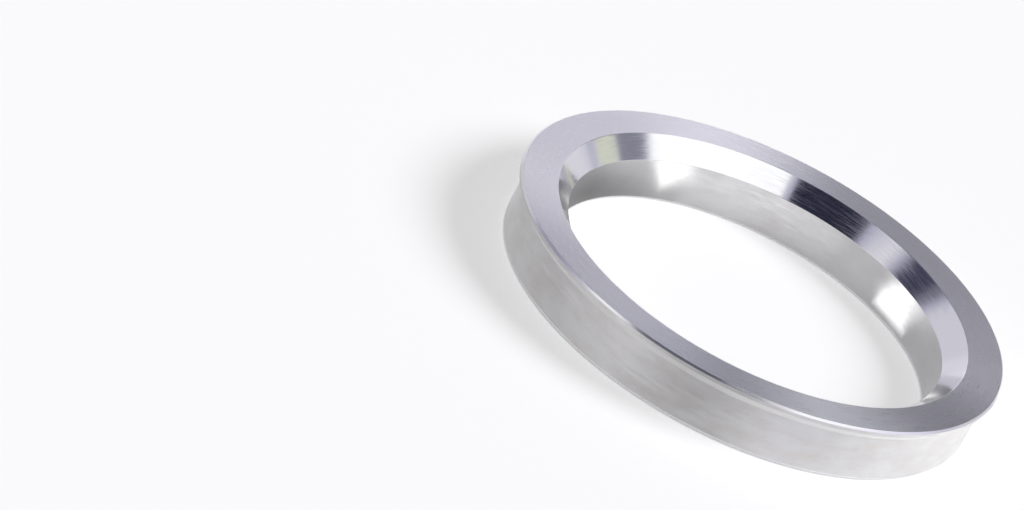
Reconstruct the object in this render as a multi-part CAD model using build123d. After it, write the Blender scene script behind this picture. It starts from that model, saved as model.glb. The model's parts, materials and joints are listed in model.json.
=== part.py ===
from build123d import *

import os
from math import radians, tan

# Hub centric ring: one turned aluminium ring that fills the gap between a
# wheel's centre bore and a smaller hub spigot. It lies on its plain end. The
# origin is the centre of that face, and +Z runs along the axis to the flange.
# Lengths are in millimetres and angles in degrees.

# The space that the ring fills: the hub's spigot, and from it out to the
# wheel's centre bore, on the radius. Each clearance is on the diameter.
HUB_SPIGOT_D = 58.6
SPIGOT_TO_WHEEL = 7.25
WHEEL_BORE_D = HUB_SPIGOT_D + 2 * SPIGOT_TO_WHEEL
HUB_CLEARANCE = 0.05
WHEEL_CLEARANCE = 0.05

# From the plain end to the flange face
HEIGHT = 9.6

# The flange: a broken edge at its face, a straight rim, then the cone that
# seats in the chamfer of the wheel's bore
SEAT_REACH = 1.3
SEAT_ANGLE = 45.0
RIM_LAND = 0.5
RIM_BREAK = 0.3

# The bore: a deep chamfer that clears the root of the hub spigot, and a
# broken edge at the plain end
HUB_CHAMFER = 2.8
BORE_BREAK = 0.3

# The body: a chamfer that leads it into the wheel, and the radius that the
# tool's nose leaves in the corner under the seat
LEAD_CHAMFER = 0.55
NOSE_RADIUS = 0.4


def ring_section():
    """The turned section, drawn with the radius as x and the axis as y."""
    body_r = (WHEEL_BORE_D - WHEEL_CLEARANCE) / 2
    bore_r = (HUB_SPIGOT_D + HUB_CLEARANCE) / 2
    rim_r = body_r + SEAT_REACH
    rim_foot = HEIGHT - RIM_BREAK - RIM_LAND
    seat_foot = rim_foot - SEAT_REACH / tan(radians(SEAT_ANGLE))

    with BuildSketch(Plane.XZ) as section:
        with BuildLine():
            Polyline(
                # plain end
                (bore_r + BORE_BREAK, 0),
                (body_r - LEAD_CHAMFER, 0),
                # body
                (body_r, LEAD_CHAMFER),
                (body_r, seat_foot),
                # seat and rim
                (rim_r, rim_foot),
                (rim_r, HEIGHT - RIM_BREAK),
                # flange face
                (rim_r - RIM_BREAK, HEIGHT),
                (bore_r + HUB_CHAMFER, HEIGHT),
                # bore
                (bore_r, HEIGHT - HUB_CHAMFER),
                (bore_r, BORE_BREAK),
                close=True,
            )
        make_face()
        seat_corner = section.vertices().sort_by_distance((body_r, seat_foot))[0]
        fillet(seat_corner, NOSE_RADIUS)
    return section.sketch


def hub_ring():
    """The section turned once about the axis."""
    return revolve(ring_section(), Axis.Z)


os.makedirs("parts", exist_ok=True)
export_step(hub_ring(), "parts/hub_ring.step")
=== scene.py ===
import json
from math import cos, pi, radians, sin

import bpy
from mathutils import Matrix, Vector


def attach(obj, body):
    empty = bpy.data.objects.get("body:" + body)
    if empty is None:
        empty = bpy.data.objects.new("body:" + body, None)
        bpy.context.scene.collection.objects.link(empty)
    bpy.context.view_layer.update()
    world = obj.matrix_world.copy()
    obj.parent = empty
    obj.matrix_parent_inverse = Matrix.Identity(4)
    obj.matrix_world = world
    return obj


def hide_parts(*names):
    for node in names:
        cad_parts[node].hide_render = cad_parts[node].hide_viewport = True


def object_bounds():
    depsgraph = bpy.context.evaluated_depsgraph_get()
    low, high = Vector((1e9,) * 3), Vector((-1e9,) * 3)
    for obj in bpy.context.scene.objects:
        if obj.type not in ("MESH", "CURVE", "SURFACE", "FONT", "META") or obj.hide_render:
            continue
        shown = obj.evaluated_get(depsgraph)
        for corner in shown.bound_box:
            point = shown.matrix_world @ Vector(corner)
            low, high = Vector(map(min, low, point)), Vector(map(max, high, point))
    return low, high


# The looks of a hub centric ring: one turned aluminium ring that lies on its
# plain end, with its flange up. Lengths are in metres, and in millimetres where
# a comment says so.

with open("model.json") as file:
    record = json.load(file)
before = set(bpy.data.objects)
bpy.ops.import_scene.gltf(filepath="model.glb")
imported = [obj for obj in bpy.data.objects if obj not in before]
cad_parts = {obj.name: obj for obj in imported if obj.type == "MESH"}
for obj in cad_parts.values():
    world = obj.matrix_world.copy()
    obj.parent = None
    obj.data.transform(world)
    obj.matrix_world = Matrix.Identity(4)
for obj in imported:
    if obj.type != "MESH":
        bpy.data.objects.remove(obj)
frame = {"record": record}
cad_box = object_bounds()

MM = 0.001
AXIS = (0.0, 0.0, 1.0)
WITHOUT_HEIGHT = (1.0, 1.0, 0.0)
NODE = "hub_ring"
BODY = "root"

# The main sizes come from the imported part
MOUNTS = {mount["name"]: mount for mount in frame["record"]["mounts"]}
RIM_R = (cad_box[1].x - cad_box[0].x) / 2
HEIGHT = cad_box[1].z
BODY_R = MOUNTS["wheel_body"]["dims"]["r_mm"] * MM
BORE_R = MOUNTS["hub_bore"]["dims"]["r_mm"] * MM

# The small ones are those of the part
SEAT_ANGLE = radians(45.0)
RIM_LAND = 0.5 * MM
RIM_BREAK = 0.3 * MM
HUB_CHAMFER = 2.8 * MM
BORE_BREAK = 0.3 * MM
LEAD_CHAMFER = 0.55 * MM
NOSE_RADIUS = 0.4 * MM

# What only the eye sees: each edge is rubbed round, with a loop close beside it
EDGE_ROUND = 0.07 * MM
EDGE_LOOP = 0.05 * MM
EDGE_STEPS = 3
TURN_STEPS = 480

# The map that runs once round the ring and along its section
TURNED_MAP = "OFBake"

# The photograph's frame, in pixels, and where its camera stood. The sensor's
# width is in millimetres.
PHOTO_SIZE = Vector((1024, 510))
FACE_CENTRE_PX = Vector((764.5, 268.1))
FOCAL_PX = 8000.0
SENSOR = 36.0
CAMERA_DISTANCE = 1.1362
CAMERA_ELEVATION = radians(25.76)
CAMERA_ROLL = radians(28.22)
CAMERA_NEAR = 0.01
CAMERA_FAR = 20.0


def live(sockets, key):
    """The socket in use with that name, or at that place among those in use."""
    used = [s for s in sockets if s.enabled]
    return used[key] if isinstance(key, int) else next(s for s in used if s.name == key)


def add(tree, kind, inputs=None, **settings):
    """Adds a node, sets its options, and sets or links its inputs by name or by place."""
    node = tree.nodes.new(kind)
    for name, value in settings.items():
        setattr(node, name, value)
    for key, value in (inputs or {}).items():
        socket = live(node.inputs, key)
        if isinstance(value, bpy.types.NodeSocket):
            tree.links.new(value, socket)
        else:
            socket.default_value = value
    return node


def maths(tree, operation, *values):
    """One sum on numbers."""
    node = add(tree, "ShaderNodeMath", dict(enumerate(values)), operation=operation)
    return live(node.outputs, 0)


def vectors(tree, operation, *values):
    """One sum on vectors."""
    node = add(tree, "ShaderNodeVectorMath", dict(enumerate(values)), operation=operation)
    return live(node.outputs, 0)


# The ring's form

SIZES = {
    "Bore radius": BORE_R,
    "Body radius": BODY_R,
    "Rim radius": RIM_R,
    "Height": HEIGHT,
    "Seat angle": SEAT_ANGLE,
    "Rim land": RIM_LAND,
    "Rim break": RIM_BREAK,
    "Hub chamfer": HUB_CHAMFER,
    "Bore break": BORE_BREAK,
    "Lead chamfer": LEAD_CHAMFER,
    "Nose radius": NOSE_RADIUS,
    "Edge round": EDGE_ROUND,
    "Edge loop": EDGE_LOOP,
}
COUNTS = {"Edge steps": EDGE_STEPS, "Turn steps": TURN_STEPS}

# The place of the corner under the seat in the list of corners, from 0
SEAT_CORNER = 3

# Points closer than this become one
WELD = 0.001 * MM


def section_corners(tree, size):
    """The ten corners of the section, plain end first, each as (radius, 0, height)."""

    def plus(a, b):
        return maths(tree, "ADD", a, b)

    def minus(a, b):
        return maths(tree, "SUBTRACT", a, b)

    reach = minus(size["Rim radius"], size["Body radius"])
    rim_top = minus(size["Height"], size["Rim break"])
    rim_foot = minus(rim_top, size["Rim land"])
    seat_drop = maths(tree, "DIVIDE", reach, maths(tree, "TANGENT", size["Seat angle"]))
    corners = [
        (plus(size["Bore radius"], size["Bore break"]), 0.0),
        (minus(size["Body radius"], size["Lead chamfer"]), 0.0),
        (size["Body radius"], size["Lead chamfer"]),
        (size["Body radius"], minus(rim_foot, seat_drop)),
        (size["Rim radius"], rim_foot),
        (size["Rim radius"], rim_top),
        (minus(size["Rim radius"], size["Rim break"]), size["Height"]),
        (plus(size["Bore radius"], size["Hub chamfer"]), size["Height"]),
        (size["Bore radius"], minus(size["Height"], size["Hub chamfer"])),
        (size["Bore radius"], size["Bore break"]),
    ]
    return [add(tree, "ShaderNodeCombineXYZ", {"X": r, "Z": z}).outputs[0] for r, z in corners]


def ring_section(tree, given):
    """The closed section as a curve: every corner rounded, then a loop beside each round."""
    index = add(tree, "GeometryNodeInputIndex").outputs[0]
    position = add(tree, "GeometryNodeInputPosition").outputs[0]

    corners = section_corners(tree, given)
    pick = add(tree, "GeometryNodeIndexSwitch", data_type="VECTOR")
    while len(pick.index_switch_items) < len(corners):
        pick.index_switch_items.new()
    tree.links.new(index, live(pick.inputs, 0))
    for place, corner in enumerate(corners):
        tree.links.new(corner, live(pick.inputs, place + 1))
    points = add(tree, "GeometryNodePoints", {"Count": len(corners), "Position": pick.outputs[0]})
    outline = add(tree, "GeometryNodePointsToCurves", {"Points": points.outputs[0]})
    closed = add(
        tree, "GeometryNodeSetSplineCyclic", {"Geometry": outline.outputs[0], "Cyclic": True}
    )

    at_seat = add(
        tree, "FunctionNodeCompare", {"A": index, "B": SEAT_CORNER}, data_type="INT", operation="EQUAL"
    )
    radius = add(
        tree,
        "GeometryNodeSwitch",
        {
            "Switch": live(at_seat.outputs, 0),
            "False": given["Edge round"],
            "True": given["Nose radius"],
        },
        input_type="FLOAT",
    )
    rounded = add(
        tree,
        "GeometryNodeFilletCurve",
        {"Curve": closed.outputs[0], "Radius": live(radius.outputs, 0), "Count": given["Edge steps"]},
        mode="POLY",
    )

    # Two cuts in each run, so points come in threes: the run's start, then a cut
    # that is drawn back to it, then a cut that is drawn on to the run's end
    cut = add(tree, "GeometryNodeSubdivideCurve", {"Curve": rounded.outputs[0], "Cuts": 2})
    turn_of_three = maths(tree, "MODULO", maths(tree, "ADD", index, 1.0), 3.0)
    step = maths(tree, "SUBTRACT", 1.0, turn_of_three)
    beside = add(tree, "GeometryNodeOffsetPointInCurve", {"Point Index": index, "Offset": step})
    end = add(
        tree,
        "GeometryNodeFieldAtIndex",
        {"Value": position, "Index": beside.outputs["Point Index"]},
        data_type="FLOAT_VECTOR",
    )
    end = live(end.outputs, 0)
    away = vectors(tree, "SUBTRACT", position, end)
    reach = maths(tree, "MINIMUM", vectors(tree, "LENGTH", away), given["Edge loop"])
    offset = add(
        tree,
        "ShaderNodeVectorMath",
        {"Vector": vectors(tree, "NORMALIZE", away), "Scale": reach},
        operation="SCALE",
    )
    drawn = add(
        tree,
        "GeometryNodeSetPosition",
        {"Geometry": cut.outputs[0], "Position": vectors(tree, "ADD", end, live(offset.outputs, 0))},
    )
    return drawn.outputs[0]


def spin(tree, section, steps):
    """The section carried round the axis on a grid, with a map: u once round, v along the section."""
    index = add(tree, "GeometryNodeInputIndex").outputs[0]
    position = add(tree, "GeometryNodeInputPosition").outputs[0]
    factor = add(tree, "GeometryNodeSplineParameter").outputs["Factor"]
    points = add(
        tree, "GeometryNodeAttributeDomainSize", {"Geometry": section}, component="CURVE"
    ).outputs["Point Count"]
    across = maths(tree, "ADD", points, 1.0)
    around = maths(tree, "ADD", steps, 1.0)
    grid = add(tree, "GeometryNodeMeshGrid", {"Vertices X": around, "Vertices Y": across})

    turn = maths(tree, "DIVIDE", maths(tree, "FLOOR", maths(tree, "DIVIDE", index, across)), steps)
    place = maths(tree, "FLOORED_MODULO", index, across)
    point = maths(tree, "FLOORED_MODULO", place, points)
    at_point = {"Geometry": section, "Index": point}
    corner = add(
        tree, "GeometryNodeSampleIndex", {**at_point, "Value": position}, data_type="FLOAT_VECTOR"
    )
    along = add(tree, "GeometryNodeSampleIndex", {**at_point, "Value": factor}, data_type="FLOAT")
    last = maths(tree, "GREATER_THAN", place, maths(tree, "SUBTRACT", points, 0.5))
    share = maths(tree, "ADD", live(along.outputs, 0), last)

    mapped = add(tree, "GeometryNodeCaptureAttribute", {"Geometry": grid.outputs["Mesh"]})
    mapped.capture_items.new("VECTOR", "Map")
    map_place = add(tree, "ShaderNodeCombineXYZ", {"X": turn, "Y": share})
    tree.links.new(map_place.outputs[0], mapped.inputs["Map"])
    spun = add(
        tree,
        "ShaderNodeVectorRotate",
        {
            "Vector": live(corner.outputs, 0),
            "Axis": AXIS,
            "Angle": maths(tree, "MULTIPLY", turn, 2 * pi),
        },
    )
    shaped = add(
        tree,
        "GeometryNodeSetPosition",
        {"Geometry": mapped.outputs["Geometry"], "Position": spun.outputs[0]},
    )
    stored = add(
        tree,
        "GeometryNodeStoreNamedAttribute",
        {"Geometry": shaped.outputs[0], "Name": TURNED_MAP, "Value": mapped.outputs["Map"]},
        data_type="FLOAT2",
        domain="CORNER",
    )
    welded = add(
        tree, "GeometryNodeMergeByDistance", {"Geometry": stored.outputs[0], "Distance": WELD}
    )
    smooth = add(tree, "GeometryNodeSetShadeSmooth", {"Geometry": welded.outputs[0]})
    return smooth.outputs[0]


def ring_tree(finishes):
    """The tree that turns the ring and gives each of its surfaces its finish."""
    tree = bpy.data.node_groups.new("turned ring", "GeometryNodeTree")
    for name in SIZES:
        tree.interface.new_socket(name, in_out="INPUT", socket_type="NodeSocketFloat")
    for name in COUNTS:
        tree.interface.new_socket(name, in_out="INPUT", socket_type="NodeSocketInt")
    for name in finishes:
        tree.interface.new_socket(name, in_out="INPUT", socket_type="NodeSocketMaterial")
    tree.interface.new_socket("Ring", in_out="OUTPUT", socket_type="NodeSocketGeometry")
    given = add(tree, "NodeGroupInput").outputs

    section = ring_section(tree, given)
    ring = spin(tree, section, given["Turn steps"])
    ring = add(tree, "GeometryNodeRealizeInstances", {"Geometry": ring}).outputs[0]

    normal = add(tree, "GeometryNodeInputNormal").outputs["True Normal"]
    position = add(tree, "GeometryNodeInputPosition").outputs[0]
    radial = vectors(tree, "NORMALIZE", vectors(tree, "MULTIPLY", position, WITHOUT_HEIGHT))
    out = vectors(tree, "DOT_PRODUCT", normal, radial)
    up = vectors(tree, "DOT_PRODUCT", normal, AXIS)
    for name, choose in FINISH_AREAS.items():
        ring = add(
            tree,
            "GeometryNodeSetMaterial",
            {"Geometry": ring, "Selection": choose(tree, out, up), "Material": given[name]},
        ).outputs[0]
    result = add(tree, "NodeGroupOutput")
    tree.links.new(ring, result.inputs["Ring"])
    return tree


# A surface belongs to the direction that it faces, give or take a sixteenth of a turn
FACING_SPREAD = radians(22.5)
STRAIGHT = cos(FACING_SPREAD)
SLOPED = sin(FACING_SPREAD)


def everywhere(tree, out, up):
    """Every surface."""
    return True


def slopes_up(tree, out, up):
    """What faces up, straight or sloped."""
    return maths(tree, "GREATER_THAN", up, SLOPED)


def slopes_down(tree, out, up):
    """What faces down, straight or sloped."""
    return maths(tree, "LESS_THAN", up, -SLOPED)


def faces_up_or_down(tree, out, up):
    """The two flat ends."""
    return maths(tree, "GREATER_THAN", maths(tree, "ABSOLUTE", up), STRAIGHT)


def faces_axis(tree, out, up):
    """The straight bore."""
    return maths(tree, "LESS_THAN", out, -STRAIGHT)


def slopes_to_axis(tree, out, up):
    """The chamfer into the bore."""
    inward = maths(tree, "LESS_THAN", out, -SLOPED)
    return maths(tree, "MULTIPLY", inward, maths(tree, "GREATER_THAN", up, SLOPED))


# Where each finish goes. A later one goes over those before it.
FINISH_AREAS = {
    "Body finish": everywhere,
    "Edge finish": slopes_up,
    "Seat finish": slopes_down,
    "Face finish": faces_up_or_down,
    "Bore finish": faces_axis,
    "Chamfer finish": slopes_to_axis,
}


def turn_ring(finishes):
    """The ring as a plain mesh, in place of the part's node."""
    tree = ring_tree(finishes)
    ring = bpy.data.objects.new("turned_hub_ring", bpy.data.meshes.new("turned_hub_ring"))
    bpy.context.scene.collection.objects.link(ring)
    turning = ring.modifiers.new("Turning", "NODES")
    turning.node_group = tree
    values = {**SIZES, **COUNTS, **finishes}
    for item in tree.interface.items_tree:
        if item.in_out == "INPUT":
            turning[item.identifier] = values[item.name]
    bpy.context.view_layer.update()
    shaped = ring.evaluated_get(bpy.context.evaluated_depsgraph_get())
    mesh = bpy.data.meshes.new_from_object(shaped)
    ring.modifiers.remove(turning)
    ring.data = mesh
    mesh.name = "turned_hub_ring"
    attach(ring, BODY)
    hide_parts(NODE)


# The finishes

# The marks of the tool are long streaks round the ring, so many along one turn.
# A width is measured along the section, which is this long all round. A range is
# what the noise mostly fills.
SECTION_LENGTH = 33.0 * MM
MARKS_PER_TURN = 60
MARK_DETAIL = 3.0
MARK_ROUGHNESS = 0.6
MARK_RANGE = (0.3, 0.7)

# Soft smudges, so many along one turn and so wide along the section
STAINS_PER_TURN = 40
STAIN_WIDTH = 2.5 * MM
STAIN_DETAIL = 5.0
STAIN_ROUGHNESS = 0.65
STAIN_RANGE = (0.40, 0.70)
STAIN_TINT = (0.90, 0.86, 0.83)

# A quarter turn, which spreads the shine across the marks and not along them
SHINE_TURN = 0.25


def unrolled(tree, per_turn, width):
    """Coordinates that run round the ring and along its section, in steps of so many and so wide."""
    place = add(tree, "ShaderNodeTexCoord").outputs["Object"]
    turned_map = add(tree, "ShaderNodeUVMap", uv_map=TURNED_MAP).outputs[0]
    along_section = add(tree, "ShaderNodeSeparateXYZ", {0: turned_map}).outputs["Y"]

    # The direction closes on itself after one turn, and the angle would not
    radial = vectors(tree, "NORMALIZE", vectors(tree, "MULTIPLY", place, WITHOUT_HEIGHT))
    turn_scale = per_turn / (2 * pi)
    turn = vectors(tree, "MULTIPLY", radial, (turn_scale, turn_scale, 0.0))
    run = maths(tree, "MULTIPLY", along_section, SECTION_LENGTH / width)
    return vectors(tree, "ADD", turn, add(tree, "ShaderNodeCombineXYZ", {"Z": run}).outputs[0])


def stained(tree, colour, stain):
    """The colour with soft warm smudges on it, up to that strength."""
    smudge = add(
        tree,
        "ShaderNodeTexNoise",
        {
            "Vector": unrolled(tree, STAINS_PER_TURN, STAIN_WIDTH),
            "Scale": 1.0,
            "Detail": STAIN_DETAIL,
            "Roughness": STAIN_ROUGHNESS,
        },
    ).outputs[0]
    share = add(
        tree,
        "ShaderNodeMapRange",
        {
            "Value": smudge,
            "From Min": STAIN_RANGE[0],
            "From Max": STAIN_RANGE[1],
            "To Min": 0.0,
            "To Max": stain,
        },
    ).outputs[0]
    tinted = [part * tint for part, tint in zip(colour, STAIN_TINT)]
    skin = add(
        tree,
        "ShaderNodeMix",
        {"Factor": share, "A": (*colour, 1.0), "B": (*tinted, 1.0)},
        data_type="RGBA",
    )
    return live(skin.outputs, 0)


def turned_metal(name, roughness, anisotropy, colour, mark, streaks, stain):
    """Bare aluminium with the marks of turning round the axis."""
    metal = bpy.data.materials.new(name)
    metal.use_nodes = True
    tree = metal.node_tree
    tree.nodes.clear()
    mark_width, mark_depth = mark
    spot = unrolled(tree, MARKS_PER_TURN, mark_width)
    marks = add(
        tree,
        "ShaderNodeTexNoise",
        {"Vector": spot, "Scale": 1.0, "Detail": MARK_DETAIL, "Roughness": MARK_ROUGHNESS},
    ).outputs[0]
    bump = add(tree, "ShaderNodeBump", {"Strength": 1.0, "Distance": mark_depth, "Height": marks})
    shine = add(
        tree,
        "ShaderNodeMapRange",
        {
            "Value": marks,
            "From Min": MARK_RANGE[0],
            "From Max": MARK_RANGE[1],
            "To Min": roughness * (1.0 - streaks),
            "To Max": roughness * (1.0 + streaks),
        },
    )
    tangent = add(tree, "ShaderNodeTangent", direction_type="UV_MAP", uv_map=TURNED_MAP)
    shader = add(
        tree,
        "ShaderNodeBsdfPrincipled",
        {
            "Base Color": stained(tree, colour, stain) if stain else (*colour, 1.0),
            "Metallic": 1.0,
            "Roughness": shine.outputs[0],
            "Anisotropic": anisotropy,
            "Anisotropic Rotation": SHINE_TURN,
            "Normal": bump.outputs[0],
            "Tangent": tangent.outputs[0],
        },
    )
    result = add(tree, "ShaderNodeOutputMaterial")
    tree.links.new(shader.outputs[0], result.inputs["Surface"])
    return metal


# The marks of one tool: their width and their depth
WIDE_MARK = (0.30 * MM, 0.004 * MM)
FINE_MARK = (0.20 * MM, 0.002 * MM)
HAIR_MARK = (0.12 * MM, 0.001 * MM)

FINISHES = {
    # (name, roughness, anisotropy, colour, marks, streaks in the shine, stain)
    "Body finish": ("skimmed body", 0.39, 1.0, (0.72, 0.72, 0.725), WIDE_MARK, 0.12, 0.9),
    "Edge finish": ("broken edge", 0.20, 0.80, (0.78, 0.78, 0.79), HAIR_MARK, 0.15, 0.0),
    "Seat finish": ("seat cone", 0.39, 1.0, (0.76, 0.76, 0.76), FINE_MARK, 0.10, 0.3),
    "Face finish": ("faced flange", 0.30, 0.89, (0.80, 0.80, 0.81), HAIR_MARK, 0.12, 0.0),
    "Bore finish": ("bored wall", 0.35, 1.0, (0.59, 0.59, 0.595), WIDE_MARK, 0.12, 0.5),
    "Chamfer finish": ("polished chamfer", 0.12, 0.73, (0.82, 0.82, 0.83), HAIR_MARK, 0.60, 0.0),
}


# The stage

# The floor has a glow of its own, for reflections, and for the eye. To the eye the glow is darkened
# where something stands closer than the reach: a painted contact shade along the ring's foot
FLOOR_HALF = 2.0
FLOOR_COLOUR = (0.85, 0.85, 0.88, 1.0)
FLOOR_GLOW = 0.50
CONTACT_REACH = 0.4 * MM
CONTACT_SAMPLES = 8


def lay_floor():
    """A plain white floor that keeps the ring's shadow, with a painted contact shade at its foot."""
    mesh = bpy.data.meshes.new("floor")
    h = FLOOR_HALF
    mesh.from_pydata([(-h, -h, 0), (h, -h, 0), (h, h, 0), (-h, h, 0)], [], [(0, 1, 2, 3)])
    floor = bpy.data.objects.new("floor", mesh)
    bpy.context.scene.collection.objects.link(floor)
    paint = bpy.data.materials.new("white floor")
    paint.use_nodes = True
    tree = paint.node_tree
    tree.nodes.clear()
    path = add(tree, "ShaderNodeLightPath").outputs
    matt = add(tree, "ShaderNodeBsdfDiffuse", {"Color": FLOOR_COLOUR})
    open_sky = add(
        tree,
        "ShaderNodeAmbientOcclusion",
        {"Distance": CONTACT_REACH},
        samples=CONTACT_SAMPLES,
    )
    # Painted contact shade: the glow that the eye sees fades where the ring stands close to the floor
    to_eye = maths(tree, "MULTIPLY", path["Is Camera Ray"], open_sky.outputs["AO"])
    seen = maths(tree, "MAXIMUM", path["Is Glossy Ray"], path["Is Transmission Ray"])
    strength = maths(tree, "MULTIPLY", maths(tree, "MAXIMUM", to_eye, seen), FLOOR_GLOW)
    glow = add(tree, "ShaderNodeEmission", {"Strength": strength})
    both = add(tree, "ShaderNodeAddShader", {0: matt.outputs[0], 1: glow.outputs[0]})
    result = add(tree, "ShaderNodeOutputMaterial")
    tree.links.new(both.outputs[0], result.inputs["Surface"])
    mesh.materials.append(paint)


# The light: a plain pale room, a soft key light, and a tent of paper that the
# metal mirrors

ROOM_LEVEL = 0.22
BACKDROP_LEVEL = 1.0
KEY_AZIMUTH = radians(15)
KEY_ELEVATION = radians(42)
KEY_STRENGTH = 1.70
KEY_SOFTNESS = radians(32)

# What the metal throws on the floor: one level from the left of the tent, another
# from its right, and a blend between these two shares of its radius
THROWN_LEFT = 0.45
THROWN_RIGHT = 2.20
THROWN_BLEND = (-0.4, 0.8)

# Each panel of the tent is given by its azimuth, from the right (+X) towards the
# far side, its elevation, its soft edge, all in degrees, and its level. A later
# panel hangs over those before it.
TENT_R = 0.25
TENT_SEGMENTS = 64
TENT_RINGS = 32
TENT_LEVEL = (0.52, 0.51, 0.64)
PANELS = {
    # (azimuth from, to, elevation from, to, soft edge, colour)
    "right bank": (-70, 50, 36, 78, 2, (1.25, 1.25, 1.27)),
    "near right bank": (-78, -44, 36, 62, 5, (0.75, 0.75, 0.80)),
    "high corner": (49, 68, 53, 70, 3, (3.20, 3.30, 3.60)),
    "right paper": (-70, 27, 8, 40, 4, (0.95, 0.91, 1.10)),
    "near right paper": (-72, -36, 12, 36, 4, (1.10, 1.08, 1.14)),
    "right sheet": (-45, 50, -5, 27, 4, (0.75, 0.74, 0.80)),
    "right shade": (23.5, 52, 29.5, 43.5, 3, (0.25, 0.25, 0.31)),
    "left sheet": (163, 204, 4, 36, 3, (0.40, 0.37, 0.48)),
    "far strip": (50, 163, -5, 17, 3, (0.78, 0.77, 0.84)),
    "far paper": (106, 163, 15, 37, 2, (0.69, 0.68, 0.76)),
    "far left sheet": (98, 111, 7, 24, 2, (1.43, 1.40, 1.54)),
    "far left gap": (95, 107, 26, 40, 2, (0.18, 0.18, 0.22)),
    "bright edge": (90, 96.5, 21.5, 27, 1, (3.20, 3.15, 3.40)),
    "low far shade": (56, 90, 17, 25, 2, (0.70, 0.69, 0.76)),
    "high far shade": (50, 91, 25, 46, 2, (0.06, 0.06, 0.08)),
    "far dark": (66, 178, 39.5, 78, 2, (0.18, 0.18, 0.23)),
    "upper left sheet": (183, 210, 46, 61, 3, (0.83, 0.82, 0.86)),
    "left light": (202, 226, 30, 54, 3, (1.15, 1.16, 1.18)),
    "violet gap": (160, 175, 40, 58, 1.5, (0.05, 0.05, 0.09)),
    "near paper": (204, 292, 15, 38, 3, (0.95, 0.93, 1.00)),
    "near floor edge": (202, 285, -5, 15, 4, (1.00, 0.99, 1.04)),
    "near grey": (228, 302, 38, 60, 3, (0.15, 0.16, 0.19)),
    "roof": (-180, 180, 78, 95, 3, (0.45, 0.50, 0.65)),
    "roof gap": (207, 282, 58, 80, 1, (0.02, 0.02, 0.04)),
    "green strip": (38, 50, 20, 31, 1.5, (0.72, 0.74, 0.63)),
}

# Three low cards that stand by the ring, seen only in it, in millimetres: each by
# its first and last foot on the floor, its height, and its levels at the first,
# half way and at the last
CARDS = {
    "left_card": ((-50, -70), (-50, 12), 15, (0.68, 0.68, 0.68)),
    "near_card": ((-20, -52), (22, -52), 9.3, (0.75, 0.15, 0.75)),
    "right_card": ((44, -75), (44, 40), 9.3, (0.70, 1.75, 1.00)),
}

# Small glowing sheets inside the ring, seen only in the metal, that put painted glints and a painted
# dark reflection in the bore: three bright ones that lean, and a dark one that lies flat, lifted off
# the floor. Each has its corners in millimetres, counter-clockwise from above, and the level in the
# middle of its upper side. Its edges and its underside have the edge level.
REFLECTION_SHEET_EDGE = 0.9
REFLECTION_SHEET_LIFT = 0.3
GLINT_AND_SHADE_SHEETS = {
    # Bright sheets: painted glints in the bore
    "right_glint": (((21.9, 19.0, 0.8), (15.5, 24.4, 0.8), (8.7, 21.4, 4.5), (13.8, 20.4, 4.5)), 6.5),
    "left_glint": (
        (
            (-17.8, 22.2, 1.4),
            (-16.6, 19.5, 4.2),
            (-8.6, 19.5, 5.6),
            (-8.0, 21.9, 5.6),
            (-11.8, 23.6, 3.7),
        ),
        6.5,
    ),
    "far_glint": (((7.0, 26.5, 1.0), (-14.0, 24.0, 1.0), (-5.0, 17.0, 3.0), (2.5, 15.0, 3.0)), 3.0),
    # The dark sheet: a painted dark reflection in the bore
    "dark_reflection_sheet": (
        (
            (-33.0, 1.0, REFLECTION_SHEET_LIFT),
            (-24.0, 2.0, REFLECTION_SHEET_LIFT),
            (-14.0, 13.0, REFLECTION_SHEET_LIFT),
            (-9.0, 22.0, REFLECTION_SHEET_LIFT),
            (-20.0, 26.0, REFLECTION_SHEET_LIFT),
            (-26.0, 20.0, REFLECTION_SHEET_LIFT),
            (-31.0, 11.0, REFLECTION_SHEET_LIFT),
        ),
        0.05,
    ),
}


def rise(tree, value, edge, soft, up=True):
    """A smooth step from 0 to 1 as the value passes the edge, or from 1 to 0."""
    ends = (0.0, 1.0) if up else (1.0, 0.0)
    return add(
        tree,
        "ShaderNodeMapRange",
        {
            "Value": value,
            "From Min": radians(edge - soft),
            "From Max": radians(edge + soft),
            "To Min": ends[0],
            "To Max": ends[1],
        },
        interpolation_type="SMOOTHSTEP",
    ).outputs[0]


def hang_panel(tree, azimuth, elevation, below, panel):
    """Lays one panel over what is below it."""
    start, end, low, high, soft, colour = panel
    middle = radians((start + end) / 2)
    aside = maths(tree, "WRAP", maths(tree, "SUBTRACT", azimuth, middle), pi, -pi)
    mask = rise(tree, maths(tree, "ABSOLUTE", aside), (end - start) / 2, soft, up=False)
    mask = maths(tree, "MULTIPLY", mask, rise(tree, elevation, low, soft))
    mask = maths(tree, "MULTIPLY", mask, rise(tree, elevation, high, soft, up=False))
    mix = add(
        tree,
        "ShaderNodeMix",
        {"Factor": mask, "A": below, "B": (*colour, 1.0)},
        data_type="RGBA",
    )
    return live(mix.outputs, 0)


def show_in_metal_only(thing):
    """Part of the stage that nothing but a reflection shows."""
    thing.visible_camera = False
    thing.visible_diffuse = False
    thing.visible_shadow = False
    thing.visible_transmission = False


def first_sight(tree, level, thrown):
    """The level as the metal shows it to the eye, and the plainer one that it throws on the floor."""
    bounces = add(tree, "ShaderNodeLightPath").outputs["Diffuse Depth"]
    by_floor = maths(tree, "GREATER_THAN", bounces, 0.5)
    mix = add(tree, "ShaderNodeMix", {"Factor": by_floor, "A": level, "B": thrown}, data_type="RGBA")
    return live(mix.outputs, 0)


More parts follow.
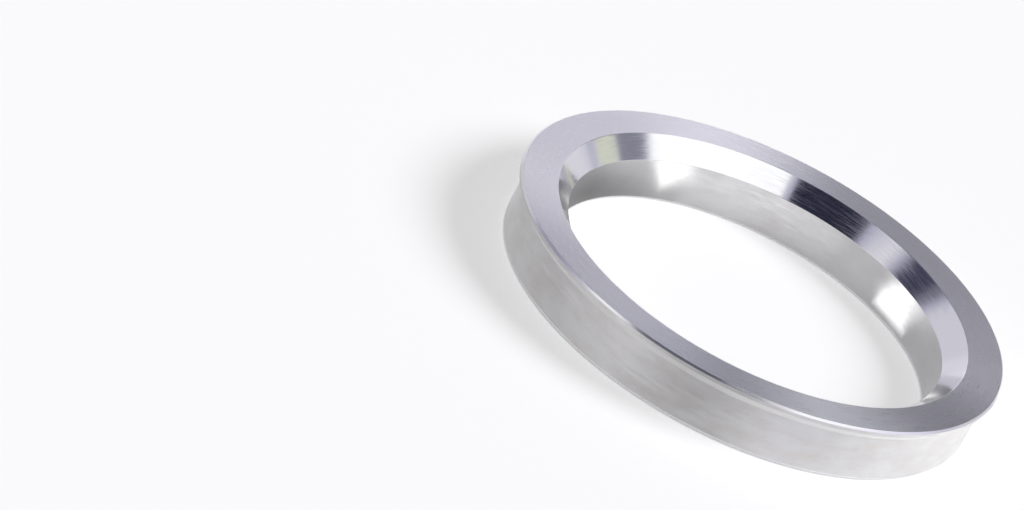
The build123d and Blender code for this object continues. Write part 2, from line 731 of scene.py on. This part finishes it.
def pitch_tent():
    """A dome over the ring that only reflections see."""
    bpy.ops.mesh.primitive_uv_sphere_add(
        segments=TENT_SEGMENTS, ring_count=TENT_RINGS, radius=TENT_R
    )
    tent = bpy.context.object
    tent.name = "light_tent"
    paper = bpy.data.materials.new("tent paper")
    paper.use_nodes = True
    tree = paper.node_tree
    tree.nodes.clear()
    place = add(tree, "ShaderNodeTexCoord").outputs["Object"]
    parts = add(tree, "ShaderNodeSeparateXYZ", {0: vectors(tree, "NORMALIZE", place)}).outputs
    azimuth = maths(tree, "ARCTAN2", parts["Y"], parts["X"])
    elevation = maths(tree, "ARCSINE", parts["Z"])
    level = (*TENT_LEVEL, 1.0)
    for panel in PANELS.values():
        level = hang_panel(tree, azimuth, elevation, level, panel)
    thrown = add(
        tree,
        "ShaderNodeMapRange",
        {
            "Value": parts["X"],
            "From Min": THROWN_BLEND[0],
            "From Max": THROWN_BLEND[1],
            "To Min": THROWN_LEFT,
            "To Max": THROWN_RIGHT,
        },
    ).outputs[0]
    glow = add(tree, "ShaderNodeEmission", {"Color": first_sight(tree, level, thrown)})
    result = add(tree, "ShaderNodeOutputMaterial")
    tree.links.new(glow.outputs[0], result.inputs["Surface"])
    tent.data.materials.append(paper)
    show_in_metal_only(tent)


def new_sheet(name, corners):
    """Sets up a sheet between corners in millimetres, and gives the tree of its new material."""
    middle = sum(corners, Vector()) / len(corners)
    count = len(corners)
    fan = [(k, (k + 1) % count, count) for k in range(count)]
    mesh = bpy.data.meshes.new(name)
    mesh.from_pydata([point * MM for point in [*corners, middle]], [], fan)

    # 1 in the middle of the sheet, 0 at its corners
    inwards = mesh.attributes.new("inwards", "FLOAT", "POINT")
    inwards.data[count].value = 1.0

    sheet = bpy.data.objects.new(name, mesh)
    bpy.context.scene.collection.objects.link(sheet)
    paper = bpy.data.materials.new(name)
    paper.use_nodes = True
    paper.node_tree.nodes.clear()
    mesh.materials.append(paper)
    show_in_metal_only(sheet)
    return paper.node_tree


def light_sheet(tree, level, thrown):
    """The sheet glows at that level, and throws another on the floor."""
    plain = (thrown, thrown, thrown, 1.0)
    glow = add(tree, "ShaderNodeEmission", {"Color": first_sight(tree, level, plain)})
    result = add(tree, "ShaderNodeOutputMaterial")
    tree.links.new(glow.outputs[0], result.inputs["Surface"])


def stand_card(name, first, last, top, levels):
    """An upright card whose light changes along it, from one level to the next."""
    start = Vector((*first, 0))
    end = Vector((*last, 0))
    up = Vector((0, 0, top))
    tree = new_sheet(name, [start, end, end + up, start + up])
    run = (end - start).normalized()
    place = add(tree, "ShaderNodeTexCoord").outputs["Object"]
    along = vectors(tree, "DOT_PRODUCT", place, run)
    stops = [start.dot(run) * MM, (start + end).dot(run) / 2 * MM, end.dot(run) * MM]
    level = levels[0]
    for half in (0, 1):
        step = add(
            tree,
            "ShaderNodeMapRange",
            {
                "Value": along,
                "From Min": stops[half],
                "From Max": stops[half + 1],
                "To Min": 0.0,
                "To Max": levels[half + 1] - levels[half],
            },
            interpolation_type="SMOOTHSTEP",
        )
        level = maths(tree, "ADD", level, step.outputs[0])
    light_sheet(tree, level, THROWN_RIGHT if start.x > 0 else THROWN_LEFT)


def place_reflection_sheet(name, corners, level):
    """A small glowing sheet with its own level in the middle of its upper side: a painted glint in the
    bore where that level is high, a painted dark reflection where it is low.
    """
    tree = new_sheet(name, [Vector(corner) for corner in corners])
    inwards = add(tree, "ShaderNodeAttribute", attribute_name="inwards").outputs["Fac"]
    upper = maths(tree, "SUBTRACT", 1.0, add(tree, "ShaderNodeNewGeometry").outputs["Backfacing"])
    share = maths(tree, "MULTIPLY", inwards, upper)
    fade = add(tree, "ShaderNodeMapRange", {"Value": share, "To Min": REFLECTION_SHEET_EDGE, "To Max": level})
    light_sheet(tree, fade.outputs[0], THROWN_LEFT)


def light_room():
    """An even light for the floor, and white wherever the camera sees past it."""
    world = bpy.data.worlds.new("pale room")
    bpy.context.scene.world = world
    world.use_nodes = True
    tree = world.node_tree
    tree.nodes.clear()
    path = add(tree, "ShaderNodeLightPath").outputs
    level = add(
        tree,
        "ShaderNodeMapRange",
        {"Value": path["Is Camera Ray"], "To Min": ROOM_LEVEL, "To Max": BACKDROP_LEVEL},
    ).outputs[0]
    background = add(tree, "ShaderNodeBackground", {"Strength": level})
    result = add(tree, "ShaderNodeOutputWorld")
    tree.links.new(background.outputs[0], result.inputs["Surface"])


def hang_key():
    """A wide soft light from the right, for the shadow on the floor."""
    data = bpy.data.lights.new("key", "SUN")
    data.energy = KEY_STRENGTH
    data.angle = KEY_SOFTNESS
    key = bpy.data.objects.new("key", data)
    bpy.context.scene.collection.objects.link(key)
    towards = Vector((cos(KEY_AZIMUTH), sin(KEY_AZIMUTH), 0)) * cos(KEY_ELEVATION)
    towards.z = sin(KEY_ELEVATION)
    key.rotation_euler = towards.to_track_quat("Z", "Y").to_euler()
    key.visible_glossy = False


def set_camera():
    """The photograph's camera: above the flange face, rolled, with the ring right of centre."""
    shift = FACE_CENTRE_PX - PHOTO_SIZE / 2
    ahead = Vector((shift.x / FOCAL_PX, -shift.y / FOCAL_PX, -1)).normalized()
    right = ahead.cross(Vector((0, 1, 0))).normalized()
    in_camera = Matrix((right, right.cross(ahead), ahead))

    sight = Vector((0, cos(CAMERA_ELEVATION), -sin(CAMERA_ELEVATION)))
    level = Vector((1, 0, 0))
    lift = level.cross(sight)
    right = level * cos(CAMERA_ROLL) + lift * sin(CAMERA_ROLL)
    in_world = Matrix((right, right.cross(sight), sight)).transposed()

    data = bpy.data.cameras.new("photograph")
    data.sensor_fit = "HORIZONTAL"
    data.sensor_width = SENSOR
    data.lens = SENSOR * FOCAL_PX / PHOTO_SIZE.x
    data.clip_start = CAMERA_NEAR
    data.clip_end = CAMERA_FAR
    camera = bpy.data.objects.new("photograph", data)
    bpy.context.scene.collection.objects.link(camera)
    camera.matrix_world = Matrix.LocRotScale(
        Vector((0, 0, HEIGHT)) - sight * CAMERA_DISTANCE, (in_world @ in_camera).to_quaternion(), None
    )
    bpy.context.scene.camera = camera


turn_ring({area: turned_metal(*finish) for area, finish in FINISHES.items()})
lay_floor()
pitch_tent()
for name, card in CARDS.items():
    stand_card(name, *card)
# Glowing sheets seen only in the metal: painted glints and a painted dark reflection in the bore
for name, paper in GLINT_AND_SHADE_SHEETS.items():
    place_reflection_sheet(name, *paper)
light_room()
hang_key()
set_camera()
bpy.context.scene.view_settings.view_transform = "Standard"
